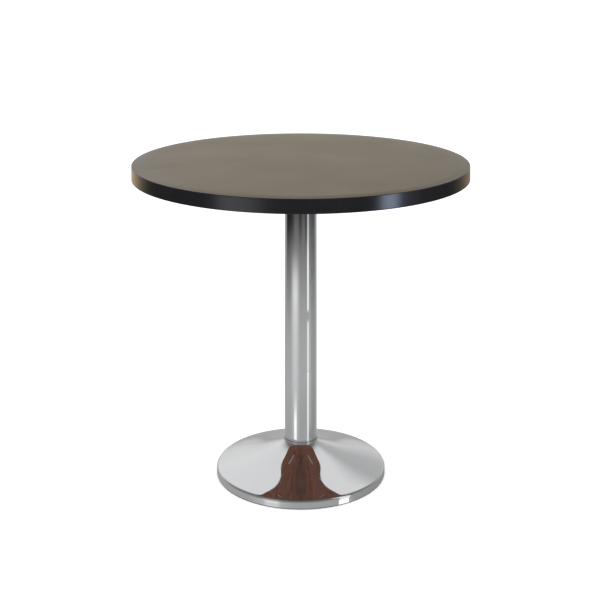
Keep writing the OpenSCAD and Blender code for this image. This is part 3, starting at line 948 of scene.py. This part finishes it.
washer("rod_washer_top", 12.0, 6.5, tw_lo[2], tw_hi[2], M_STEEL, "fastener_steel", "top_washer")
washer("rod_washer_bottom", 18.0, 6.5, bw_lo[2], bw_hi[2], M_STEEL, "fastener_steel", "bottom_washer")
washer("rod_spring_washer", 10.5, 6.35, sw_lo[2], sw_hi[2], M_SPRING, "spring_steel", "spring_washer", gap=1.2)
AF = 18.96
place(build("rod_nut_top", [hexagon(AF, 6.0, tn_lo[2], tn_hi[2])], [M_STEEL], sharp=28), TABLE, "fastener_steel", "top_nut")
place(build("rod_nut_bottom", [hexagon(AF, 6.0, bn_lo[2], bn_hi[2])], [M_STEEL], sharp=28), TABLE, "fastener_steel", "bottom_nut")


# =============================================================================
# Base cover: the same slope law as the CAD, sampled more finely
# =============================================================================
def slope(r):
    return (15.2 + 6.9 / (1 + math.exp((r - 103.5) / 12.2)) + 33.0 * math.exp(-(r - TUBE_R) / 8.6)
            + 2.25 * max(0.0, (r - 155.0) / 35.0) ** 2)


def cover_outer():
    sr, rim_h = 7.0, 14.17
    brow = slope(BASE_R - sr)
    pts = [(BASE_R, COVER_Z, 90.0), (BASE_R, COVER_Z + 3, 90.0), (BASE_R, rim_h - 4, 90.0)]
    for i in range(15):
        a = math.radians(i / 14 * (90 - brow))
        pts.append((BASE_R - sr + sr * math.cos(a), rim_h + sr * math.sin(a), 90 - math.degrees(a)))
    r0, z = pts[-1][0], pts[-1][1]
    r1 = TUBE_R + 3.0
    n = 96
    prev = r0
    for i in range(1, n + 1):
        r = r1 + (r0 - r1) * (1 - i / n) ** 1.7
        t = [math.tan(math.radians(slope(q))) for q in (prev, (prev + r) / 2, r)]
        z += (prev - r) * (t[0] + 4 * t[1] + t[2]) / 6
        pts.append((r, z, slope(r)))
        prev = r
    a0, lip_a = pts[-1][2], 88.0
    neck_r = TUBE_R + 0.15
    s0, c0 = math.sin(math.radians(a0)), math.cos(math.radians(a0))
    tr = (pts[-1][0] - neck_r - 1.2) / (math.sin(math.radians(lip_a)) - s0)
    br, bz = pts[-1][0], pts[-1][1]
    for i in range(1, 13):
        a = a0 + i / 12 * (lip_a - a0)
        pts.append((br - tr * (math.sin(math.radians(a)) - s0), bz + tr * (c0 - math.cos(math.radians(a))), a))
    pts.append((neck_r + 1.2, pts[-1][1] + 1.2, 90.0))
    return pts


outer = cover_outer()
fit = (NECK_Z - outer[-1][1])       # how far the finer sampling is from the CAD's neck
span = outer[-1][1] - outer[17][1]
outer = [(r, z + fit * max(0.0, (z - outer[17][1]) / span), a) for r, z, a in outer]
inner = []
for r, z, a in outer:
    ar = math.radians(a)
    inner.append((max(r - 1.2 * math.sin(ar), TUBE_R + 0.15), z - 1.2 * math.cos(ar)))
loop = [(r, z) for r, z, _ in outer]
# the lip's cut edge and the rim's foot are eased
top_o, top_i = loop[-1], inner[-1]
loop[-1] = (top_o[0], top_o[1] - 0.35)
cap = [(top_o[0] - 0.12, top_o[1] - 0.1), (top_o[0] - 0.4, top_o[1]), (top_i[0] + 0.4, top_o[1]), (top_i[0] + 0.1, top_o[1] - 0.1)]
inner[-1] = (top_i[0], top_o[1] - 0.35)
foot = [(inner[0][0] + 0.35, COVER_Z), (BASE_R - 0.35, COVER_Z)]
inner[0] = (inner[0][0], COVER_Z + 0.3)
loop[0] = (BASE_R, COVER_Z + 0.3)
n_out = len(loop)
profile = loop + cap + list(reversed(inner)) + foot
v, f = lathe(profile, 320)
cover = build("base_cover_chrome", [(v, f)], [M_COVER, M_INSIDE], sharp=40)
for p in cover.data.polygons:
    c = p.center
    if p.normal.z < -0.2 or (p.normal.x * c.x + p.normal.y * c.y < 0 and abs(p.normal.z) < 0.25 and c.z < 0.03):
        p.material_index = 1
place(cover, TABLE, "chrome", "base_cover")


def inner_z(r):
    pts = sorted(inner)
    for (a, za), (b, zb) in zip(pts, pts[1:]):
        if a <= r <= b:
            return za + (zb - za) * (r - a) / max(b - a, 1e-9)
    return pts[-1][1]


# =============================================================================
# Weight, rings
# =============================================================================
w = WEIGHT_R
weight = fillet([(6.5, 26.0, 0.5), (22.0, 26.0, 0.8), (22.0, WEIGHT_Z, 0.8), (w - 2, WEIGHT_Z, 1.0), (w, WEIGHT_Z + 2, 1.0), (w, 16.0, 0.6),
                 (w - 11, 16.0, 1.0), (w - 14, 19.0, 1.5), (66.0, 30.0, 6.0), (56.0, 32.0, 3.0), (50.0, SEAT_Z, 1.6), (6.5, SEAT_Z, 0.5)], n=5)
ob = build("base_weight_iron", [lathe(refine(weight, 12.0), 192)], [M_IRON])
tools = []
for g in GLIDE_AT:
    tools.append(lathe(fillet([(0, WEIGHT_Z - 3), (18.5, WEIGHT_Z - 3), (18.5, 14.6, 1.2), (4.0, 14.6, 0.5), (4.0, 34.6), (0, 34.6)],
                              closed=False, n=3), 64, closed=False, at=(g.x, g.y)))
boolean(ob, build("tool", tools, [M_IRON]))
place(ob, TABLE, "cast_iron", "base_weight")

ra, rb = sup_hi[0] - 8.0, sup_hi[0]
ring = fillet([(ra, 16.0, 0.6), (rb, 16.0, 0.6), (rb, inner_z(rb) - 0.1, 0.5), (rb - 2.6, inner_z(rb - 2.6) - 0.1, 0.2),
               (rb - 4.0, inner_z(rb - 4.0) - 0.7, 0.5), (rb - 5.4, inner_z(rb - 5.4) - 0.1, 0.2), (ra, inner_z(ra) - 0.1, 0.5)], n=3)
place(build("cover_support_rubber", [lathe(ring, 256)], [M_RUBBER]), TABLE, "seal_rubber", "cover_support_ring")

fo, fz0, fz1 = flr_hi[0], flr_lo[2], flr_hi[2]
ri = BASE_R - 1.2
fring = fillet([(ri - 2.4, fz0, 0.35), (BASE_R - 0.6, fz0, 0.35), (fo, fz0 + 0.5, 0.25), (fo, COVER_Z, 0.2), (ri - 0.2, COVER_Z, 0.1),
                (ri - 0.2, fz1, 0.4), (ri - 2.4, fz1, 0.8)], n=3)
place(build("floor_ring_soft", [lathe(fring, 320)], [M_FLOORRING]), TABLE, "floor_ring_grey", "floor_ring")


# =============================================================================
# Levelling glides
# =============================================================================
def glide(i):
    g = GLIDE_AT[i - 1]
    at = (g.x, g.y)
    pad = fillet([(0, 0.35), (9.5, 0.35, 0.5), (10.2, 0.0, 0.4), (14.8, 0.0, 1.1), (16.0, 1.2, 0.9), (16.0, 4.0, 1.0), (14.0, 6.0, 0.9),
                  (7.2, 6.0, 0.5), (4.08, 5.7, 0.25), (4.08, 5.2, 0.0), (6.03, 5.2, 0.0), (6.03, 3.0, 0.3), (0, 3.0)], closed=False, n=4)
    v, f = lathe(pad, 96, closed=False, at=at)
    # sixteen small grip flutes round the pad's side
    fl = []
    for x, y, z in v:
        dx, dy = x - at[0] * MM, y - at[1] * MM
        r, a = math.hypot(dx, dy), math.atan2(dy, dx)
        if r > 14.2 * MM and 0.9 * MM < z < 5.2 * MM:
            r -= 0.00022 * (0.5 + 0.5 * math.cos(24 * a))
        fl.append((at[0] * MM + r * math.cos(a), at[1] * MM + r * math.sin(a), z))
    place(build("glide_%d_pad" % i, [(fl, f)], [M_NYLON], sharp=45), "glide_foot_%d" % i, "glide_nylon", "glide_pad_%d" % i)
    parts = [
        lathe(fillet([(0, 3.02), (5.4, 3.02, 0.3), (5.93, 3.5, 0.3), (5.93, 4.6, 0.3), (5.3, 5.0, 0.2), (3.95, 5.0, 0.2), (3.95, 6.5), (0, 6.5)],
                     closed=False, n=3), 48, closed=False, at=at),
        hexagon(12.98, 0, 6.42, 10.4, at=at, both=True),
        thread(3.93, 3.3, 1.25, 10.2, 27.6, 32, 1.1, at=at),
        lathe(fillet([(0, 27.2), (3.2, 27.2), (3.0, 28.4, 0.3), (0, 28.4)], closed=False, n=2), 32, closed=False, at=at),
    ]
    place(build("glide_%d_stem" % i, parts, [M_STEEL], sharp=40), "glide_screw_%d" % i, "fastener_steel", "glide_stem_%d" % i)


for i in range(1, 5):
    glide(i)


# =============================================================================
# Studio: pale floor, soft light, and what the chrome mirrors
# =============================================================================
scene = bpy.context.scene
scene.view_settings.view_transform = "Standard"
scene.view_settings.look = "None"
scene.view_settings.exposure = 0.0
scene.view_settings.gamma = 1.0

REFL = 0.79          # the chrome's own reflectance


def glossy_only(ob):
    ob.visible_camera = False
    ob.visible_diffuse = False
    ob.visible_transmission = False
    ob.visible_volume_scatter = False
    ob.visible_shadow = False
    ob.visible_glossy = True


def sheet(name, corners, mat):
    me = bpy.data.meshes.new(name)
    me.from_pydata(corners, [], [tuple(range(len(corners)))])
    me.materials.append(mat)
    ob = bpy.data.objects.new(name, me)
    scene.collection.objects.link(ob)
    return ob


# The studio turns with the camera, as if the table stood on a turntable, so the
# chrome mirrors the same surroundings from every side.
rig = bpy.data.objects.new("studio_rig", None)
scene.collection.objects.link(rig)

# floor seen by the camera: pale paper
m, n = material("studio_floor")
fibre = n.noise(n.pos, 3.0, 3.0, 0.5)
dif = n.add("ShaderNodeBsdfDiffuse", None, {"Color": n.mix(fibre, (0.90, 0.90, 0.90), (0.92, 0.92, 0.92))})
emi = n.add("ShaderNodeEmission", None, {"Color": (1, 1, 1, 1), "Strength": 0.42})
add = n.add("ShaderNodeAddShader", None, {0: dif.outputs[0], 1: emi.outputs[0]})
# from below the floor is see-through, so that the feet can be looked at
below = n.add("ShaderNodeMixShader", None, {0: n.math("MULTIPLY", n.add("ShaderNodeNewGeometry").outputs["Backfacing"], n.add("ShaderNodeLightPath").outputs["Is Camera Ray"]),
                                            1: add.outputs[0], 2: n.add("ShaderNodeBsdfTransparent").outputs[0]})
out = n.add("ShaderNodeOutputMaterial", None, {"Surface": below.outputs[0]})
m.cycles.emission_sampling = "NONE"
S = 60.0
floor = sheet("studio_floor", [(-S, -S, 0), (S, -S, 0), (S, S, 0), (-S, S, 0)], m)
floor.visible_glossy = False

# floor seen by the chrome: bright round the table and behind it, falling off to
# a dark room towards the camera
m, n = material("mirrored_floor")
x, y, z = n.xyz(n.pos)
rho = n.math("SQRT", n.math("ADD", n.math("MULTIPLY", x, x), n.math("MULTIPLY", y, y)))
az = n.math("MULTIPLY", n.math("ARCTAN2", x, n.math("MULTIPLY", y, -1.0)), 180 / PI)
absaz = n.math("ABSOLUTE", az)
reach = n.math("MULTIPLY", rho, n.step(az, -110.0, -35.0, 1.22, 1.0))
front = n.curve(reach, 0.0, 12.0, [(0.0, 0.315), (0.30, 0.325), (0.45, 0.34), (0.65, 0.372), (0.95, 0.36), (1.23, 0.335), (1.60, 0.265),
                                   (2.05, 0.175), (2.60, 0.085), (3.0, 0.036), (3.6, 0.022), (4.6, 0.035), (6.5, 0.080), (9.0, 0.15), (12.0, 0.22)])
far = n.step(rho, 1.9, 2.6)
bands = n.math("ADD", n.math("MULTIPLY", n.window(az, -62.0, -40.0, -22.0, -5.0), 0.62),
               n.math("MULTIPLY", n.window(az, 2.0, 14.0, 24.0, 36.0), 0.60))
bands = n.math("ADD", bands, n.step(az, 44.0, 58.0, 0.0, 0.62))
front = n.math("MULTIPLY", front, n.mixf(far, 1.0, n.math("ADD", bands, 0.50)))
clutter = n.step(n.noise(n.vmath("MULTIPLY", n.pos, (5.0, 5.0, 1.0)), 1.0, 3.0, 0.6), 0.55, 0.62)
clutter = n.math("MULTIPLY", clutter, n.math("MULTIPLY", n.window(az, 50.0, 60.0, 120.0, 130.0), n.window(rho, 1.1, 1.4, 2.4, 2.8)))
front = n.math("MULTIPLY", front, n.math("SUBTRACT", 1.0, n.math("MULTIPLY", clutter, 0.45)))
away = n.curve(az, 0.0, 180.0, [(0.0, 1.0), (52.0, 1.0), (60.0, 1.14), (70.0, 1.12), (80.0, 0.85), (100.0, 0.79), (180.0, 0.80)])
close = n.curve(az, 0.0, 180.0, [(0.0, 1.0), (28.0, 1.0), (32.5, 1.19), (36.5, 1.16), (41.0, 0.87), (55.0, 0.80), (72.0, 0.74), (110.0, 0.85), (180.0, 1.0)])
front = n.math("MULTIPLY", front, n.mixf(n.step(rho, 0.25, 0.36), close, away))
rear = n.curve(rho, 0.0, 12.0, [(0.0, 0.33), (0.4, 0.350), (1.0, 0.335), (3.0, 0.345), (12.0, 0.40)])
lum = n.mixf(n.step(absaz, 108.0, 142.0), front, rear)
# a wooden floor starts beyond the paper, to both sides
wood = n.math("MULTIPLY", n.window(rho, 2.7, 3.4, 4.5, 5.2), n.window(absaz, 85.0, 108.0, 160.0, 176.0))
lum = n.math("MULTIPLY", lum, n.mixf(wood, 1.0, n.step(az, -20.0, 20.0, 2.05, 1.05)))
emi = n.add("ShaderNodeEmission", None, {"Color": n.mix(wood, (1.0, 1.0, 1.0), (1.0, 0.75, 0.47)), "Strength": n.math("DIVIDE", lum, REFL)})
tr = n.add("ShaderNodeBsdfTransparent")
add = n.add("ShaderNodeAddShader", None, {0: emi.outputs[0], 1: tr.outputs[0]})
out = n.add("ShaderNodeOutputMaterial", None, {"Surface": add.outputs[0]})
m.cycles.emission_sampling = "NONE"
gfloor = sheet("mirrored_floor", [(-S, -S, -0.0006), (S, -S, -0.0006), (S, S, -0.0006), (-S, S, -0.0006)], m)
glossy_only(gfloor)
gfloor.parent = rig


def card(name, centre, width, z0, z1, points, tint=(1.0, 1.0, 1.0, 1), across=None, split=None):
    """An upright light that only the mirrors see, facing the column. across is its
    law from left to right; such a card hides nothing behind it and is seen only by
    mirrors that look down at it. Above the height split a card is clear to them."""
    m, n = material(name)
    cx, cy = centre
    d = math.hypot(cx, cy)
    ux, uy = -cy / d * width / 2, cx / d * width / 2
    x, y, z = n.xyz(n.pos)
    climb = n.xyz(n.add("ShaderNodeNewGeometry").outputs["Incoming"])[2]
    lum = n.curve(z, z0, z1, points)
    if across:
        along = n.math("ADD", n.math("MULTIPLY", x, 2 * ux / width ** 2), n.math("MULTIPLY", y, 2 * uy / width ** 2))
        u = n.math("ADD", along, 0.5 - (2 * ux * cx + 2 * uy * cy) / width ** 2)
        lum = n.math("MULTIPLY", lum, n.math("MULTIPLY", n.curve(u, 0.0, 1.0, across), n.step(climb, 0.04, 0.10)))
    surface = n.add("ShaderNodeEmission", None, {"Color": tint, "Strength": lum}).outputs[0]
    if across:
        clear = n.add("ShaderNodeBsdfTransparent")
        surface = n.add("ShaderNodeAddShader", None, {0: clear.outputs[0], 1: surface}).outputs[0]
    if split is not None:
        seen = n.mixf(n.step(z, split - 0.01, split + 0.01), 1.0, n.step(climb, 0.0, -0.05))
        clear = n.add("ShaderNodeBsdfTransparent")
        surface = n.add("ShaderNodeMixShader", None, {0: seen, 1: clear.outputs[0], 2: surface}).outputs[0]
    n.add("ShaderNodeOutputMaterial", None, {"Surface": surface})
    m.cycles.emission_sampling = "NONE"
    ob = sheet(name, [(cx - ux, cy - uy, z0), (cx + ux, cy + uy, z0), (cx + ux, cy + uy, z1), (cx - ux, cy - uy, z1)], m)
    glossy_only(ob)
    ob.parent = rig
    return ob


# the narrow light to the right, seen in the column and the rim
card("strip_light", (0.551, -0.432), 0.168, -0.45, 0.80,
     [(-0.45, 0.93), (-0.24, 0.93), (-0.19, 0.54), (-0.012, 0.54), (0.012, 0.99), (0.145, 0.99), (0.153, 0.42), (0.175, 0.42), (0.183, 1.05),
      (0.312, 1.08), (0.359, 0.93), (0.383, 0.74), (0.406, 0.68), (0.441, 0.56), (0.50, 0.60), (0.55, 0.95), (0.80, 0.95)], (0.965, 0.985, 1.0, 1), split=0.50)
# two soft windows that only the edge band sees, the right one bluish
card("window_right", (1.1195, -0.7347), 0.819, 0.38, 0.62, [(0.38, 6.0), (0.62, 6.0)], (0.65, 0.76, 1.0, 1),
     across=[(0.0, 0.0), (0.074, 0.03), (0.13, 0.16), (0.167, 0.42), (0.204, 0.70), (0.26, 0.94), (0.315, 1.0), (0.39, 0.99), (0.444, 0.78), (0.48, 0.52),
             (0.52, 0.26), (0.555, 0.11), (0.61, 0.06), (0.74, 0.045), (0.89, 0.03), (1.0, 0.0)])
card("window_left", (-0.769, -1.087), 0.91, 0.38, 0.62, [(0.38, 1.12), (0.62, 1.12)], (0.90, 0.91, 1.0, 1),
     across=[(0.0, 0.05), (0.108, 0.12), (0.17, 0.30), (0.215, 0.74), (0.26, 0.86), (0.32, 0.90), (0.385, 1.0), (0.446, 0.90), (0.54, 0.92), (0.615, 0.77),
             (0.69, 0.68), (0.77, 0.50), (0.846, 0.27), (0.92, 0.13), (1.0, 0.04)])

# world
world = bpy.data.worlds.new("studio")
scene.world = world
world.use_nodes = True
n = Nodes(world.node_tree)
turn = n.add("ShaderNodeMapping", {"vector_type": "POINT"}, {0: n.add("ShaderNodeTexCoord").outputs["Generated"]})
x, y, z = n.xyz(turn.outputs[0])
az = n.math("MULTIPLY", n.math("ARCTAN2", x, n.math("MULTIPLY", y, -1.0)), 180 / PI)   # 0 towards the camera, + to the right
el = n.math("MULTIPLY", n.math("ARCSINE", n.math("MINIMUM", n.math("MAXIMUM", z, -1.0), 1.0)), 180 / PI)
absaz = n.math("ABSOLUTE", az)
back = n.curve(el, -10.0, 90.0, [(-10.0, 0.38), (0.0, 0.40), (4.0, 0.48), (9.0, 0.58), (14.0, 0.615), (24.0, 0.66), (36.0, 0.64), (60.0, 0.62), (90.0, 0.50)])
straight = n.step(absaz, 170.5, 175.5)
slope_law = n.curve(el, -10.0, 90.0, [(-10.0, 1.0), (1.0, 1.0), (4.0, 1.46), (8.5, 1.50), (11.0, 1.05), (13.5, 0.50), (18.0, 0.46), (26.0, 0.86), (34.0, 1.0), (90.0, 1.0)])
back = n.math("MULTIPLY", back, n.mixf(straight, 1.0, slope_law))
sector = n.math("MULTIPLY", n.window(az, 112.0, 136.0, 172.0, 179.9), n.window(el, 3.0, 25.0, 31.0, 47.0))
back = n.math("MULTIPLY", back, n.math("SUBTRACT", 1.0, n.math("MULTIPLY", sector, 0.40)))
room = n.curve(el, -10.0, 90.0, [(-10.0, 0.27), (0.0, 0.27), (6.0, 0.235), (18.0, 0.19), (45.0, 0.15), (60.0, 0.11), (70.0, 0.09), (90.0, 0.20)])
up = n.mixf(n.step(absaz, 104.0, 153.0), room, back)
lamp = n.math("MULTIPLY", n.window(az, -56.0, -46.0, -32.0, -24.0), n.curve(el, 0.0, 90.0, [(0.0, 0.28), (12.0, 0.26), (30.0, 0.13), (55.0, 0.02), (70.0, 0.0), (90.0, 0.0)]))
up = n.math("ADD", up, lamp)
broad = n.math("MULTIPLY", n.window(az, -82.0, -44.0, -36.0, -2.0),
               n.curve(el, -30.0, -10.0, [(-30.0, 0.085), (-22.5, 0.115), (-20.5, 0.160), (-18.9, 0.20), (-17.5, 0.29), (-16.9, 0.39), (-16.15, 0.36),
                                          (-15.5, 0.185), (-15.1, 0.09), (-14.8, 0.03), (-14.4, 0.0), (-10.0, 0.0)]))
core_w = n.math("MULTIPLY", n.window(az, -53.0, -45.0, -32.0, -26.0),
                n.curve(el, -30.0, -10.0, [(-30.0, 0.12), (-24.0, 0.17), (-23.0, 0.46), (-22.2, 0.57), (-21.6, 0.24), (-20.8, 0.0), (-10.0, 0.0)]))
down = n.math("ADD", broad, core_w)
above = n.step(el, -0.3, 0.3)
lum = n.math("DIVIDE", n.mixf(above, down, up), REFL)
lp = n.add("ShaderNodeLightPath")
warm = n.math("MULTIPLY", straight, n.window(el, -1.0, 3.0, 22.0, 36.0))
gl = n.add("ShaderNodeBackground", None, {"Color": n.mix(warm, (1.0, 1.0, 1.0), (1.0, 0.945, 0.845)), "Strength": lum})
cam_bg = n.add("ShaderNodeBackground", None, {"Color": (1, 1, 1, 1), "Strength": 1.0})
dif_bg = n.add("ShaderNodeBackground", None, {"Color": (1, 1, 1, 1), "Strength": 0.95})
mx = n.add("ShaderNodeMixShader", None, {0: lp.outputs["Is Glossy Ray"], 1: dif_bg.outputs[0], 2: gl.outputs[0]})
mx2 = n.add("ShaderNodeMixShader", None, {0: lp.outputs["Is Camera Ray"], 1: mx.outputs[0], 2: cam_bg.outputs[0]})
n.add("ShaderNodeOutputWorld", None, {"Surface": mx2.outputs[0]})


def area(name, loc, target, size, power):
    light = bpy.data.lights.new(name, "AREA")
    light.shape = "SQUARE"
    light.size = size
    light.energy = power
    ob = bpy.data.objects.new(name, light)
    scene.collection.objects.link(ob)
    ob.location = loc
    ob.rotation_mode = "QUATERNION"
    ob.rotation_quaternion = (Vector(target) - Vector(loc)).to_track_quat("-Z", "Y")
    ob.visible_glossy = False
    ob.parent = rig
    return ob


area("key", (-2.2, -2.4, 2.6), (0, 0, 0.4), 2.0, 26.0)
area("fill", (2.6, -1.4, 2.0), (0, 0, 0.4), 2.4, 12.0)

# camera: level, shifted down, as the photograph's was
cam_data = bpy.data.cameras.new("camera")
cam = bpy.data.objects.new("camera", cam_data)
scene.collection.objects.link(cam)
scene.camera = cam
cam_data.sensor_width = 36.0
cam_data.lens = 72.7
cam.location = (0.0, -2.885, 1.288)
cam.rotation_euler = (PI / 2, 0, 0)
cam_data.clip_start, cam_data.clip_end = 0.05, 200.0
home = bpy.data.objects.new("camera_home", None)
scene.collection.objects.link(home)
home.location = cam.location
for path, value in (("shift_y", -0.618), ("shift_x", -0.0013)):
    # the lens shift belongs to this viewpoint only, so it goes when the camera is moved
    drv = cam_data.driver_add(path).driver
    drv.type = "SCRIPTED"
    var = drv.variables.new()
    var.name = "d"
    var.type = "LOC_DIFF"
    var.targets[0].id = cam
    var.targets[1].id = home
    drv.expression = "%s if d < 0.001 else 0.0" % value


def follow_camera(owner, path, index, sign):
    """Drives a turn about Z by the camera's direction from the table's axis."""
    drv = owner.driver_add(path, index).driver
    drv.type = "SCRIPTED"
    for name, kind in (("cx", "LOC_X"), ("cy", "LOC_Y")):
        var = drv.variables.new()
        var.name = name
        var.type = "TRANSFORMS"
        var.targets[0].id = cam
        var.targets[0].transform_type = kind
        var.targets[0].transform_space = "WORLD_SPACE"
    drv.expression = "%s * atan2(cx, -cy)" % sign


follow_camera(rig, "rotation_euler", 2, 1)
follow_camera(turn.inputs["Rotation"], "default_value", 2, -1)

bpy.context.view_layer.update()
